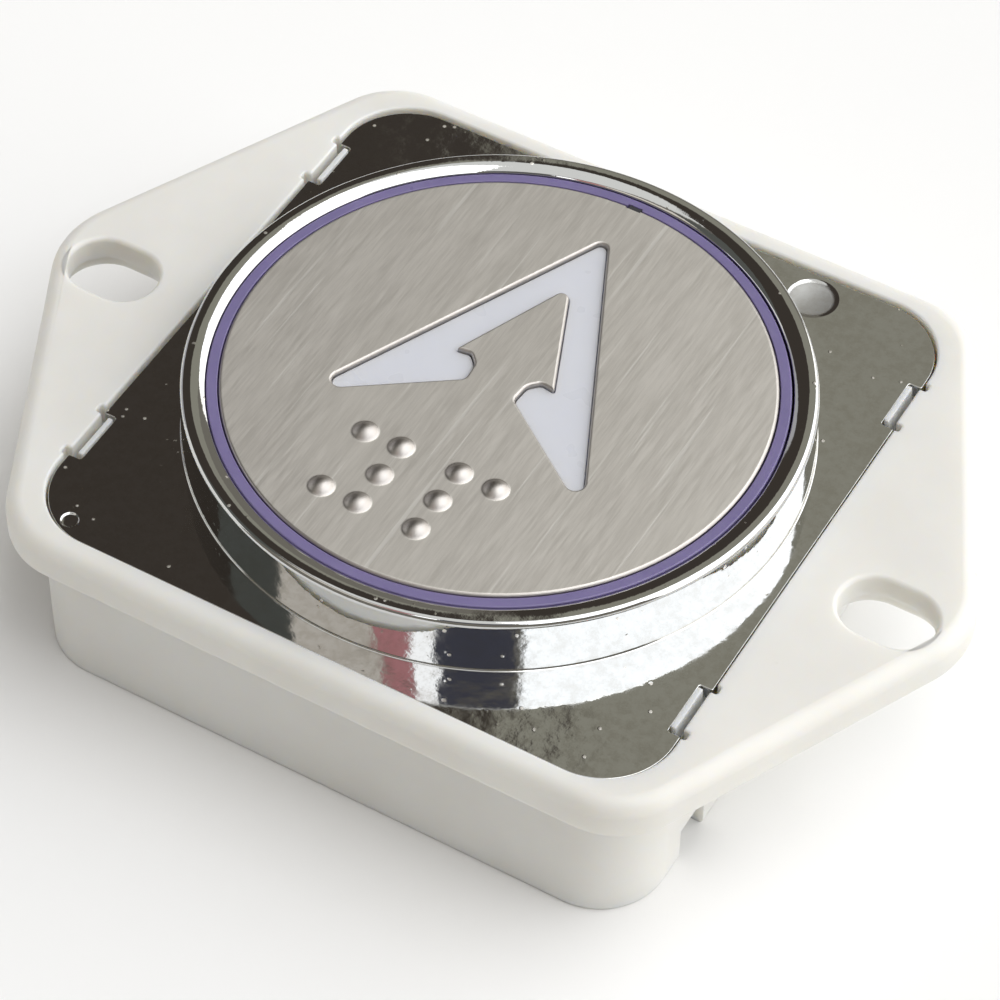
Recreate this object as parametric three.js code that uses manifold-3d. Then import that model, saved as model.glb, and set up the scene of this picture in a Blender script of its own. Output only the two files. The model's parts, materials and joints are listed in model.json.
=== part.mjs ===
// Lift call button: a square-backed push button with an illuminated arrow, in millimetres, +Z up.
// The origin is the centre of the housing's back face. +X runs from ear to ear, +Y is the way the
// arrow points, and +Z leaves the face towards the finger.
import * as THREE from 'three';
import { mergeVertices } from 'three/addons/utils/BufferGeometryUtils.js';
import Module from 'manifold-3d';

const wasm = await Module();
wasm.setup();

// Driving dimensions: housing
const BOX_HALF_X = 20.3;
const BOX_HALF_Y = 20.4;
const BOX_CORNER_R = 4.2;
const WALL = 1.2;
const PLATE_TOP = 12.1;
const PLATE_THICK = 2.7;
const PLATE_HALF_Y = 21.75;
const PLATE_CORNER_X = 20.3;
const EAR_APEX_X = 31.0;
const PLATE_CORNER_R = 5.0;
const EAR_R = 6.0;
const PLATE_EDGE_CHAMFER = 0.5;
const SLOT_X = 25.95;
const SLOT_Y = -1.5;
const SLOT_LENGTH = 5.8;
const SLOT_WIDTH = 4.3;
const SLOT_LIP = 1.6;
const SLOT_POCKET = 0.5;
const WALL_NOTCH_FROM = 11.55;
const WALL_NOTCH_TO = 14.4;
const WALL_NOTCH_HEIGHT = 2.6;
const RIB_FROM = 6.5;
const RIB_TO = 9.5;
const RIB_DEPTH = 1.0;

// Driving dimensions: chrome bezel
const FLANGE_HALF_X = 20.05;
const FLANGE_HALF_Y = 20.1;
const FLANGE_CORNER_R = 4.4;
const FLANGE_THICK = 1.2;
const FLANGE_SINK = 0.3;
const FLANGE_GAP = 0.12;
const RING_OUTER_R = 18.4;
const RING_BORE_R = 16.98;
const RING_TOP = PLATE_TOP + 3.55;
const RING_EDGE = 0.3;
const RING_DRAFT = 0.08;
const DISH_START_R = 17.95;
const DISH_CURVE_R = 1.4;
const CATCH_Y = 13.05;
const CATCH_NOTCH_LENGTH = 3.7;
const CATCH_NOTCH_DEPTH = 0.8;
const CATCH_LENGTH = 3.1;
const CATCH_THICK = 0.4;
const CATCH_HEAD = 0.15;
const CATCH_RELIEF = 0.33;
const CATCH_RELIEF_LENGTH = 0.6;

// Driving dimensions: moving button
const STEEL_R = 16.14;
const STEEL_TOP = PLATE_TOP + 3.35;
const STEEL_THICK = 0.8;
const STEEL_EDGE = 0.2;
const LIGHT_RING_R = 16.82;
const LIGHT_RING_TOP = STEEL_TOP - 0.1;
const LIGHT_RING_FOOT = 13.3;
const SEAT_Z = 12.5;
const LENS_THICK = 1.2;
const LENS_GAP = 0.05;
const CARRIER_LIP_R = 17.7;
const CARRIER_LIP_THICK = 0.85;
const CARRIER_WALL_R = 16.6;
const CARRIER_BORE_R = 15.4;
const LUG_WIDTH = 3.0;
const LUG_REACH = 18.5;
const KEY_HALF_WIDTH = 0.4;
const KEY_INNER = 15.95;
const KEY_OUTER = 16.3;
const KEY_TOP = STEEL_TOP - 0.15;
const KEY_GAP = 0.05;
const DOT_PITCH = 2.38;
const CELL_PITCH = 6.18;
const DOT_R = 0.82;
const DOT_HEIGHT = 0.45;
const FIRST_DOT = [-4.5, -7.4];

// Driving dimensions: inside
const COVER_THICK = 1.2;
const PCB_TOP = 6.8;
const PCB_THICK = 1.2;
const PILLAR_X = 16.2;
const PILLAR_Y = 16.3;
const PILLAR_R = 2.6;
const PILLAR_FOOT = 1.6;
const PILOT_R = 0.95;
const PILOT_TOP = 7.6;
const COVER_POST_R = 1.3;
const COVER_POST_X = 12.5;
const COVER_POST_Y = 4.5;
const SCREW_HEAD_R = 1.7;
const SCREW_SHANK_R = 0.75;
const SCREW_SINK = 0.65;
const SCREW_TIP = 6.4;
const SPRING_CIRCLE_R = 13.8;
const LED_CIRCLE_R = 12.7;
const LAMP_WINDOW_R = 2.2;
const ARROW_LED_CIRCLE_R = 6.4;
const CONNECTOR_Y = -9.8;
const CONNECTOR_HALF_X = 5.9;
const CONNECTOR_HALF_Y = 3.0;
const PIN_PITCH = 2.0;
const PIN_HALF = 0.25;
const RESISTOR_Y = 9.0;

// Heights worked out from the driving dimensions
const PLATE_BOTTOM = PLATE_TOP - PLATE_THICK;
const FLANGE_TOP = PLATE_TOP - FLANGE_SINK;
const FLANGE_BOTTOM = FLANGE_TOP - FLANGE_THICK;
const CARRIER_TOP_OF_LIP = FLANGE_BOTTOM;
const CARRIER_BOTTOM = CARRIER_TOP_OF_LIP - CARRIER_LIP_THICK;
const PCB_BOTTOM = PCB_TOP - PCB_THICK;
const CAVITY_HALF_X = BOX_HALF_X - WALL;
const CAVITY_HALF_Y = BOX_HALF_Y - WALL;
const OPENING_R = CARRIER_LIP_R + 0.4;
const ROUND = 48;

const material = {
  housing: new THREE.MeshStandardMaterial({ color: 0xe6e5df, roughness: 0.42, metalness: 0 }),
  chrome: new THREE.MeshStandardMaterial({ color: 0xd9dbdd, roughness: 0.06, metalness: 1 }),
  steel: new THREE.MeshStandardMaterial({ color: 0xb9b4ab, roughness: 0.34, metalness: 1 }),
  violet: new THREE.MeshStandardMaterial({ color: 0x8d7cc4, roughness: 0.35, metalness: 0 }),
  lens: new THREE.MeshStandardMaterial({ color: 0xdcdfee, roughness: 0.3, metalness: 0 }),
  carrier: new THREE.MeshStandardMaterial({ color: 0x2b2c30, roughness: 0.5, metalness: 0 }),
  baffle: new THREE.MeshStandardMaterial({ color: 0xf1f1ee, roughness: 0.6, metalness: 0 }),
  spring: new THREE.MeshStandardMaterial({ color: 0xa5a8ac, roughness: 0.25, metalness: 1 }),
  switchBody: new THREE.MeshStandardMaterial({ color: 0x1c1c1e, roughness: 0.55, metalness: 0 }),
  switchCover: new THREE.MeshStandardMaterial({ color: 0xc3c6c9, roughness: 0.3, metalness: 1 }),
  board: new THREE.MeshStandardMaterial({ color: 0x1f6b3c, roughness: 0.45, metalness: 0 }),
  led: new THREE.MeshStandardMaterial({ color: 0xf3ecc8, roughness: 0.25, metalness: 0 }),
  resistor: new THREE.MeshStandardMaterial({ color: 0x17181b, roughness: 0.4, metalness: 0 }),
  connector: new THREE.MeshStandardMaterial({ color: 0xefece2, roughness: 0.45, metalness: 0 }),
  pin: new THREE.MeshStandardMaterial({ color: 0xc9c3a8, roughness: 0.2, metalness: 1 }),
  screw: new THREE.MeshStandardMaterial({ color: 0x9ea1a5, roughness: 0.3, metalness: 1 }),
};

const model = new THREE.Group();

// ---- Shared helpers -------------------------------------------------------------------------

// A closed geometry becomes a solid: shared vertices are merged and its faces are turned outwards.
function solid(geometry) {
  const bare = geometry.clone();
  bare.deleteAttribute('normal');
  bare.deleteAttribute('uv');
  const merged = mergeVertices(bare, 1e-4);
  const places = Float32Array.from(merged.attributes.position.array);
  const corners = Uint32Array.from(merged.index.array);
  const body = new wasm.Manifold(new wasm.Mesh({ numProp: 3, vertProperties: places, triVerts: corners }));
  if (body.volume() > 0) return body;
  for (let i = 0; i < corners.length; i += 3) {
    [corners[i + 1], corners[i + 2]] = [corners[i + 2], corners[i + 1]];
  }
  return new wasm.Manifold(new wasm.Mesh({ numProp: 3, vertProperties: places, triVerts: corners }));
}

function joined(first, ...others) {
  return others.reduce((whole, piece) => whole.add(piece), first);
}

function cut(first, ...others) {
  return others.reduce((whole, piece) => whole.subtract(piece), first);
}

// A solid leaves the joining library as a named mesh of the model.
function place(name, body, finish) {
  const { vertProperties, triVerts } = body.getMesh();
  const geometry = new THREE.BufferGeometry();
  geometry.setAttribute('position', new THREE.BufferAttribute(vertProperties, 3));
  geometry.setIndex(new THREE.BufferAttribute(triVerts, 1));
  geometry.computeVertexNormals();
  const mesh = new THREE.Mesh(geometry, finish);
  mesh.name = name;
  model.add(mesh);
}

function box(fromX, toX, fromY, toY, fromZ, toZ) {
  const geometry = new THREE.BoxGeometry(toX - fromX, toY - fromY, toZ - fromZ);
  geometry.translate((fromX + toX) / 2, (fromY + toY) / 2, (fromZ + toZ) / 2);
  return solid(geometry);
}

function rod(radius, fromZ, toZ, x = 0, y = 0, sides = ROUND) {
  const geometry = new THREE.CylinderGeometry(radius, radius, toZ - fromZ, sides);
  geometry.rotateX(Math.PI / 2);
  geometry.translate(x, y, (fromZ + toZ) / 2);
  return solid(geometry);
}

// A closed profile of [radius, height] pairs is turned about the Z axis.
function turned(profile, sides = ROUND) {
  const points = profile.map(([radius, height]) => new THREE.Vector2(radius, height));
  points.push(points[0].clone());
  const geometry = new THREE.LatheGeometry(points, sides);
  geometry.rotateX(Math.PI / 2);
  return solid(geometry);
}

function prism(shape, fromZ, toZ) {
  const geometry = new THREE.ExtrudeGeometry(shape, { depth: toZ - fromZ, bevelEnabled: false });
  geometry.translate(0, 0, fromZ);
  return solid(geometry);
}

// A convex or hollow-cornered outline whose corner k is rounded by an arc of radius radii[k].
function roundedOutline(corners, radii, steps = 6) {
  const points = [];
  corners.forEach(([x, y], k) => {
    const here = new THREE.Vector2(x, y);
    const before = new THREE.Vector2(...corners.at(k - 1)).sub(here).normalize();
    const after = new THREE.Vector2(...corners[(k + 1) % corners.length]).sub(here).normalize();
    const half = Math.acos(before.dot(after)) / 2;
    const radius = radii[k];
    if (radius === 0) {
      points.push(here);
      return;
    }
    const middle = before.clone().add(after).normalize().multiplyScalar(radius / Math.sin(half)).add(here);
    const start = here.clone().addScaledVector(before, radius / Math.tan(half)).sub(middle);
    const turn = Math.sign(before.x * after.y - before.y * after.x) * (Math.PI - 2 * half) * -1;
    for (let i = 0; i <= steps; i += 1) {
      points.push(start.clone().rotateAround(new THREE.Vector2(), (turn * i) / steps).add(middle));
    }
  });
  return new THREE.Shape(points);
}

function rectangle(halfX, halfY, radius, steps = 6) {
  const corners = [[halfX, -halfY], [halfX, halfY], [-halfX, halfY], [-halfX, -halfY]];
  return roundedOutline(corners, corners.map(() => radius), steps);
}

function hexagon(inset = 0) {
  const cornerX = PLATE_CORNER_X - inset;
  const halfY = PLATE_HALF_Y - inset;
  const apexX = EAR_APEX_X - inset * 1.1;
  const corners = [
    [cornerX, -halfY], [apexX, 0], [cornerX, halfY], [-cornerX, halfY], [-apexX, 0], [-cornerX, -halfY],
  ];
  const radii = [PLATE_CORNER_R, EAR_R, PLATE_CORNER_R, PLATE_CORNER_R, EAR_R, PLATE_CORNER_R];
  return roundedOutline(corners, radii.map((radius) => radius - inset), 5);
}

function slotOutline(grow = 0) {
  const radius = SLOT_WIDTH / 2 + grow;
  return rectangle(SLOT_LENGTH / 2 + grow, radius, radius - 0.01, 5);
}

const MIRRORED = [[1, 1], [-1, 1], [-1, -1], [1, -1]];
const QUARTERS = [45, 135, 225, 315];

// The stretch between two distances from the centre line, on the side that the sign says.
function span(sign, near, far) {
  return sign > 0 ? [near, far] : [-far, -near];
}

function onCircle(radius, degrees) {
  const angle = THREE.MathUtils.degToRad(degrees);
  return [radius * Math.cos(angle), radius * Math.sin(angle)];
}

// ---- Fixed shell ----------------------------------------------------------------------------

// Two spring catches a side hold the bezel down; each stands in a notch of the bezel's flange.
function bezelCatch(signX, signY) {
  const inner = FLANGE_HALF_X - CATCH_NOTCH_DEPTH + 0.1;
  const outer = inner + CATCH_THICK;
  const fromY = signY * CATCH_Y - CATCH_LENGTH / 2;
  const toY = signY * CATCH_Y + CATCH_LENGTH / 2;
  const top = FLANGE_TOP + CATCH_HEAD;
  const [low, high] = span(signX, inner, outer);
  return box(low, high, fromY, toY, FLANGE_BOTTOM - 0.4, top);
}

function housing() {
  const rim = PLATE_EDGE_CHAMFER;
  const plate = joined(
    prism(hexagon(), PLATE_BOTTOM, PLATE_TOP - rim),
    prism(hexagon(rim / 2), PLATE_TOP - rim, PLATE_TOP - rim / 2),
    prism(hexagon(rim), PLATE_TOP - rim / 2, PLATE_TOP),
  );
  const skirt = prism(rectangle(BOX_HALF_X, BOX_HALF_Y, BOX_CORNER_R), 0, PLATE_BOTTOM + 0.5);
  const cavity = prism(rectangle(CAVITY_HALF_X, CAVITY_HALF_Y, BOX_CORNER_R - WALL), -1, PLATE_BOTTOM);
  const recess = prism(
    rectangle(FLANGE_HALF_X + FLANGE_GAP, FLANGE_HALF_Y + FLANGE_GAP, FLANGE_CORNER_R),
    FLANGE_BOTTOM, PLATE_TOP + 1,
  );
  const opening = rod(OPENING_R, PLATE_BOTTOM - 1, FLANGE_BOTTOM + 1);
  const lugReach = LUG_REACH + 0.4;
  const lugHalf = LUG_WIDTH / 2 + 0.3;
  const lugGroove = box(-lugHalf, lugHalf, -lugReach, lugReach, PLATE_BOTTOM - 1, FLANGE_BOTTOM + 0.5);
  let shell = cut(joined(plate, skirt), cavity, recess, opening, lugGroove);
  for (const side of [1, -1]) {
    const slot = prism(slotOutline(), PLATE_BOTTOM - 1, PLATE_TOP + 1).translate([side * SLOT_X, SLOT_Y, 0]);
    const pocket = prism(slotOutline(SLOT_POCKET), PLATE_BOTTOM - 1, PLATE_TOP - SLOT_LIP)
      .translate([side * SLOT_X, SLOT_Y, 0]);
    shell = cut(shell, slot, pocket);
  }
  for (const [signX, signY] of MIRRORED) {
    const pillar = prism(rectangle(PILLAR_R + 1.2, PILLAR_R + 1.2, PILLAR_R), PILLAR_FOOT, PLATE_BOTTOM + 0.1)
      .translate([signX * (PILLAR_X + 0.6), signY * (PILLAR_Y + 0.6), 0])
      .intersect(prism(rectangle(BOX_HALF_X - 0.4, BOX_HALF_Y - 0.4, BOX_CORNER_R - 0.4), 0, PLATE_TOP));
    shell = joined(shell, pillar, bezelCatch(signX, signY));
    shell = cut(shell, rod(PILOT_R, PILLAR_FOOT - 0.6, PILOT_TOP, signX * PILLAR_X, signY * PILLAR_Y, 16));
    shell = joined(shell, boardRib(signX, signY, 'x'), boardRib(signX, signY, 'y'));
    shell = cut(shell, wallNotch(signX, signY), ...catchRelief(signX, signY));
  }
  place('housing', shell, material.housing);
}

// The board rests against eight ribs on the inside of the walls.
function boardRib(signX, signY, wall) {
  const along = [RIB_FROM, RIB_TO];
  const acrossX = [CAVITY_HALF_X - RIB_DEPTH, CAVITY_HALF_X + 0.2];
  const acrossY = [CAVITY_HALF_Y - RIB_DEPTH, CAVITY_HALF_Y + 0.2];
  const [lowX, highX] = span(signX, ...(wall === 'x' ? acrossX : along));
  const [lowY, highY] = span(signY, ...(wall === 'x' ? along : acrossY));
  return box(lowX, highX, lowY, highY, PCB_TOP, PLATE_BOTTOM + 0.1);
}

// Each side wall has a small open notch in its back edge, next to each corner.
function wallNotch(signX, signY) {
  const [lowX, highX] = span(signX, CAVITY_HALF_X - 0.6, BOX_HALF_X + 1);
  const [lowY, highY] = span(signY, WALL_NOTCH_FROM, WALL_NOTCH_TO);
  return box(lowX, highX, lowY, highY, -1, WALL_NOTCH_HEIGHT);
}

// The recess is a little wider at both ends of each catch.
function catchRelief(signX, signY) {
  const start = FLANGE_HALF_X + FLANGE_GAP - 0.05;
  const [lowX, highX] = span(signX, start, start + CATCH_RELIEF);
  const half = CATCH_RELIEF_LENGTH / 2;
  return [-1, 1].map((end) => {
    const middle = signY * CATCH_Y + (end * CATCH_NOTCH_LENGTH) / 2;
    return box(lowX, highX, middle - half, middle + half, FLANGE_BOTTOM, PLATE_TOP + 1);
  });
}

// The ring's top is flat outside and curves down to the bore like the rim of a dish.
function dishRim() {
  const end = Math.asin((DISH_START_R - RING_BORE_R) / DISH_CURVE_R);
  return [0, 0.25, 0.5, 0.75, 1].map((part) => [
    DISH_START_R - DISH_CURVE_R * Math.sin(part * end),
    RING_TOP - DISH_CURVE_R * (1 - Math.cos(part * end)),
  ]);
}

function bezel() {
  const foot = RING_OUTER_R + RING_DRAFT;
  let body = joined(
    prism(rectangle(FLANGE_HALF_X, FLANGE_HALF_Y, FLANGE_CORNER_R), FLANGE_BOTTOM, FLANGE_TOP),
    turned([
      [RING_BORE_R - 0.5, FLANGE_BOTTOM], [foot, FLANGE_BOTTOM + 0.2], [foot, FLANGE_TOP],
      [RING_OUTER_R, RING_TOP - RING_EDGE], [RING_OUTER_R - RING_EDGE, RING_TOP],
      ...dishRim(), [RING_BORE_R - 0.5, RING_TOP - 0.5],
    ]),
  );
  body = cut(body, rod(RING_BORE_R, FLANGE_BOTTOM - 1, RING_TOP + 1));
  for (const [signX, signY] of MIRRORED) {
    const [lowX, highX] = span(signX, FLANGE_HALF_X - CATCH_NOTCH_DEPTH, FLANGE_HALF_X + 1);
    const fromY = signY * CATCH_Y - CATCH_NOTCH_LENGTH / 2;
    const toY = signY * CATCH_Y + CATCH_NOTCH_LENGTH / 2;
    body = cut(body, box(lowX, highX, fromY, toY, FLANGE_BOTTOM - 1, FLANGE_TOP + 0.5));
  }
  place('bezel', body, material.chrome);
}

function backCover() {
  const halfX = CAVITY_HALF_X - 0.3;
  const halfY = CAVITY_HALF_Y - 0.3;
  let body = prism(rectangle(halfX, halfY, BOX_CORNER_R - WALL - 0.2), 0, COVER_THICK);
  for (const [signX, signY] of MIRRORED) {
    const post = [signX * COVER_POST_X, signY * COVER_POST_Y];
    const screw = [signX * PILLAR_X, signY * PILLAR_Y];
    body = joined(body, rod(COVER_POST_R, COVER_THICK - 0.2, PCB_BOTTOM, ...post, 16));
    body = cut(
      body,
      rod(SCREW_SHANK_R + 0.3, -1, COVER_THICK + 1, ...screw, 16),
      rod(SCREW_HEAD_R + 0.2, -1, SCREW_SINK, ...screw, 20),
    );
  }
  const window = [CONNECTOR_HALF_X + 0.3, CONNECTOR_HALF_Y + 0.3];
  body = cut(body, box(
    -window[0], window[0], CONNECTOR_Y - window[1], CONNECTOR_Y + window[1], -1, COVER_THICK + 1,
  ));
  place('back_cover', body, material.housing);
}

function coverScrews() {
  MIRRORED.forEach(([signX, signY], index) => {
    const x = signX * PILLAR_X;
    const y = signY * PILLAR_Y;
    const head = rod(SCREW_HEAD_R, 0.05, SCREW_SINK, x, y, 20);
    const shank = rod(SCREW_SHANK_R, SCREW_SINK - 0.05, SCREW_TIP, x, y, 12);
    const [long, thin, depth] = [0.95, 0.18, 0.4];
    const drive = [
      box(x - long, x + long, y - thin, y + thin, -1, depth),
      box(x - thin, x + thin, y - long, y + long, -1, depth),
    ];
    place(`cover_screw_${index + 1}`, cut(joined(head, shank), ...drive), material.screw);
  });
}

// ---- Moving button --------------------------------------------------------------------------

// The arrow's outline: its right half from the tip round the barb to the hollow, then the mirror of it.
// A gap moves every edge inwards by that much, for the lens that fills the opening.
function arrowOutline(gap = 0) {
  const half = [
    [0, 13.15, 0.42], [9.12, -6.33, 0.55], [1.62, -0.96, 0.45], [1.72, 0.35, 0.75],
    [2.35, 1.0, 0.45], [3.25, 0.86, 0.08], [0, 8.6, 0.45],
  ];
  const mirrored = half.slice(1, -1).map(([x, y, rounding]) => [-x, y, rounding]).reverse();
  const run = [...half, ...mirrored];
  const corners = moveEdgesInwards(run.map(([x, y]) => [x, y]), gap);
  return roundedOutline(corners, run.map((corner) => corner[2]), 3);
}

// The corners run clockwise, so the inside is on the right of each edge.
function moveEdgesInwards(corners, distance) {
  return corners.map(([x, y], k) => {
    const here = new THREE.Vector2(x, y);
    const arrive = here.clone().sub(new THREE.Vector2(...corners.at(k - 1))).normalize();
    const leave = new THREE.Vector2(...corners[(k + 1) % corners.length]).sub(here).normalize();
    const inwards = new THREE.Vector2(arrive.y + leave.y, -arrive.x - leave.x);
    return here.addScaledVector(inwards, distance / (1 + arrive.dot(leave))).toArray();
  });
}

function dotPlaces() {
  const cells = [[[0, 0], [1, 0], [1, 1], [0, 2], [1, 2]], [[0, 0], [1, 0], [0, 1], [0, 2]]];
  return cells.flatMap((cell, index) => cell.map(([column, row]) => [
    FIRST_DOT[0] + index * CELL_PITCH + column * DOT_PITCH,
    FIRST_DOT[1] - row * DOT_PITCH,
  ]));
}

// The carrier's key stands in this notch of the face plate and the light ring.
function keyNotch() {
  const half = KEY_HALF_WIDTH + KEY_GAP;
  return box(-half, half, KEY_INNER - KEY_GAP, KEY_OUTER + KEY_GAP, SEAT_Z - 1, STEEL_TOP + 1);
}

function facePlate() {
  const bottom = STEEL_TOP - STEEL_THICK;
  const disc = turned([
    [0, bottom], [STEEL_R, bottom], [STEEL_R, STEEL_TOP - STEEL_EDGE],
    [STEEL_R - STEEL_EDGE * 0.3, STEEL_TOP - STEEL_EDGE * 0.3],
    [STEEL_R - STEEL_EDGE, STEEL_TOP], [0, STEEL_TOP],
  ]);
  let body = cut(disc, prism(arrowOutline(), bottom - 1, STEEL_TOP + 1), keyNotch());
  for (const [x, y] of dotPlaces()) {
    const dome = new THREE.SphereGeometry(1, 10, 6);
    dome.rotateX(Math.PI / 2);
    dome.scale(DOT_R, DOT_R, DOT_HEIGHT);
    dome.translate(x, y, STEEL_TOP);
    const cap = box(x - 1, x + 1, y - 1, y + 1, STEEL_TOP - 0.2, STEEL_TOP + 1);
    body = joined(body, solid(dome).intersect(cap));
  }
  place('face_plate', body, material.steel);
}

function lightRing() {
  const inner = STEEL_R + 0.06;
  const ring = turned([
    [CARRIER_BORE_R, SEAT_Z], [LIGHT_RING_R, SEAT_Z], [LIGHT_RING_R, LIGHT_RING_TOP],
    [inner, LIGHT_RING_TOP], [inner, LIGHT_RING_FOOT], [CARRIER_BORE_R, LIGHT_RING_FOOT],
  ]);
  place('light_ring', cut(ring, keyNotch()), material.violet);
}

function arrowLens() {
  const top = STEEL_TOP - STEEL_THICK;
  const base = rod(KEY_INNER - 0.1, top - LENS_THICK + 0.1, top);
  const arrow = prism(arrowOutline(LENS_GAP), top - 0.2, STEEL_TOP - 0.3);
  place('arrow_lens', joined(base, arrow), material.lens);
}

function carrier() {
  const foot = CARRIER_BOTTOM;
  let body = joined(
    rod(CARRIER_LIP_R, foot, CARRIER_TOP_OF_LIP),
    cut(
      rod(CARRIER_WALL_R, CARRIER_TOP_OF_LIP - 0.2, SEAT_Z),
      rod(CARRIER_BORE_R, CARRIER_TOP_OF_LIP - 0.2, SEAT_Z + 1),
    ),
    rod(1.5, SWITCH.stemTop + SWITCH.freePlay, foot + 0.2, 0, 0, 24),
    box(-LUG_WIDTH / 2, LUG_WIDTH / 2, -LUG_REACH, LUG_REACH, foot, CARRIER_TOP_OF_LIP),
    box(-KEY_HALF_WIDTH, KEY_HALF_WIDTH, KEY_INNER, KEY_OUTER, SEAT_Z - 0.5, KEY_TOP),
  );
  for (const degrees of QUARTERS) {
    body = joined(body, rod(0.95, foot - 0.8, foot + 0.2, ...onCircle(SPRING_CIRCLE_R, degrees), 12));
    body = cut(body, rod(LAMP_WINDOW_R, foot - 1, SEAT_Z, ...onCircle(LED_CIRCLE_R, degrees - 45), 20));
    body = cut(body, rod(LAMP_WINDOW_R, foot - 1, SEAT_Z, ...onCircle(ARROW_LED_CIRCLE_R, degrees), 20));
  }
  place('carrier', body, material.carrier);
}

// ---- Switch, board and light ----------------------------------------------------------------

const SWITCH = { half: 3.0, bodyTop: 8.1, coverTop: 8.25, stemTop: 8.6, stemR: 1.7, freePlay: 0.8 };

function pushSwitch() {
  const { half, bodyTop, coverTop, stemTop, stemR } = SWITCH;
  const well = rod(stemR + 0.3, bodyTop - 0.7, bodyTop + 1, 0, 0, 24);
  place('switch_body', cut(box(-half, half, -half, half, PCB_TOP, bodyTop), well), material.switchBody);
  const lid = box(-half, half, -half, half, bodyTop, coverTop);
  const lidHole = rod(stemR + 0.3, bodyTop - 1, coverTop + 1, 0, 0, 24);
  place('switch_cover', cut(lid, lidHole), material.switchCover);
  place('switch_stem', rod(stemR, bodyTop - 0.4, stemTop, 0, 0, 24), material.switchBody);
}

function board() {
  const halfX = CAVITY_HALF_X - 0.35;
  const halfY = CAVITY_HALF_Y - 0.35;
  let body = box(-halfX, halfX, -halfY, halfY, PCB_BOTTOM, PCB_TOP);
  for (const [signX, signY] of MIRRORED) {
    const [lowX, highX] = span(signX, PILLAR_X - 3.5, halfX + 1);
    const [lowY, highY] = span(signY, PILLAR_Y - 3.5, halfY + 1);
    body = cut(body, box(lowX, highX, lowY, highY, PCB_BOTTOM - 1, PCB_TOP + 1));
  }
  for (const x of pinPlaces()) {
    body = cut(body, box(
      x - 0.5, x + 0.5, CONNECTOR_Y - 0.5, CONNECTOR_Y + 0.5, PCB_BOTTOM - 1, PCB_TOP + 1,
    ));
  }
  place('pcb', body, material.board);
}

function pinPlaces() {
  return [-1.5, -0.5, 0.5, 1.5].map((step) => step * PIN_PITCH);
}

function connector() {
  const halfX = CONNECTOR_HALF_X;
  const halfY = CONNECTOR_HALF_Y;
  const wall = 0.7;
  const mouth = 0.3;
  let shell = box(-halfX, halfX, CONNECTOR_Y - halfY, CONNECTOR_Y + halfY, mouth, PCB_BOTTOM);
  shell = cut(shell, box(
    -halfX + wall, halfX - wall,
    CONNECTOR_Y - halfY + wall, CONNECTOR_Y + halfY - wall,
    mouth - 1, PCB_BOTTOM - 1,
  ));
  for (const x of [-2.6, 2.6]) {
    shell = cut(shell, box(x - 0.8, x + 0.8, CONNECTOR_Y + halfY - 1.2, CONNECTOR_Y + halfY + 1, -1, 2.6));
  }
  pinPlaces().forEach((x, index) => {
    shell = cut(shell, box(x - 0.5, x + 0.5, CONNECTOR_Y - 0.5, CONNECTOR_Y + 0.5, 1, PCB_BOTTOM + 1));
    const pin = box(
      x - PIN_HALF, x + PIN_HALF, CONNECTOR_Y - PIN_HALF, CONNECTOR_Y + PIN_HALF, 1.6, PCB_TOP + 0.7,
    );
    place(`connector_pin_${index + 1}`, pin, material.pin);
  });
  place('connector_shell', shell, material.connector);
}

// Four lamps light the violet ring and four light the arrow.
function lamps() {
  const ring = QUARTERS.map((degrees) => onCircle(LED_CIRCLE_R, degrees - 45));
  const arrow = QUARTERS.map((degrees) => onCircle(ARROW_LED_CIRCLE_R, degrees));
  [...ring, ...arrow].forEach(([x, y], index) => {
    const body = box(x - 1.4, x + 1.4, y - 1.2, y + 1.2, PCB_TOP, PCB_TOP + 0.7);
    const dome = rod(0.95, PCB_TOP + 0.6, PCB_TOP + 1.1, x, y, 12);
    place(`led_${index + 1}`, joined(body, dome), material.led);
  });
}

function resistors() {
  [-7.5, -2.5, 2.5, 7.5].forEach((x, index) => {
    const y = RESISTOR_Y;
    const middle = box(x - 1.0, x + 1.0, y - 0.6, y + 0.6, PCB_BOTTOM - 0.5, PCB_BOTTOM);
    const ends = [-1, 1].map((side) => {
      const edge = x + side * 1.0;
      return box(edge - 0.25, edge + 0.25, y - 0.65, y + 0.65, PCB_BOTTOM - 0.56, PCB_BOTTOM);
    });
    place(`resistor_${index + 1}`, joined(middle, ...ends), material.resistor);
  });
}

// A white collar on the board keeps the arrow's light apart from the ring's.
function lightBaffle() {
  const collar = turned([[8.5, PCB_TOP], [9.1, PCB_TOP], [9.1, PCB_TOP + 1.8], [8.5, PCB_TOP + 1.8]], 40);
  place('light_baffle', collar, material.baffle);
}

function returnSprings() {
  const wire = 0.2;
  const coilR = 1.5;
  const turns = 3.5;
  const low = PCB_TOP + wire + 0.05;
  const high = CARRIER_BOTTOM - wire - 0.05;
  class Helix extends THREE.Curve {
    getPoint(t, target = new THREE.Vector3()) {
      const angle = t * turns * 2 * Math.PI;
      return target.set(coilR * Math.cos(angle), coilR * Math.sin(angle), low + (high - low) * t);
    }
  }
  const section = new THREE.Shape([0, 72, 144, 216, 288].map((degrees) => (
    new THREE.Vector2(...onCircle(wire, degrees))
  )));
  QUARTERS.forEach((degrees, index) => {
    const [x, y] = onCircle(SPRING_CIRCLE_R, degrees);
    const sweep = { steps: 42, bevelEnabled: false, extrudePath: new Helix() };
    const coil = new THREE.ExtrudeGeometry(section, sweep);
    coil.translate(x, y, 0);
    place(`return_spring_${index + 1}`, solid(coil), material.spring);
  });
}

housing();
bezel();
backCover();
coverScrews();
facePlate();
lightRing();
arrowLens();
carrier();
pushSwitch();
board();
connector();
lamps();
resistors();
lightBaffle();
returnSprings();

export default model;
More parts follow.
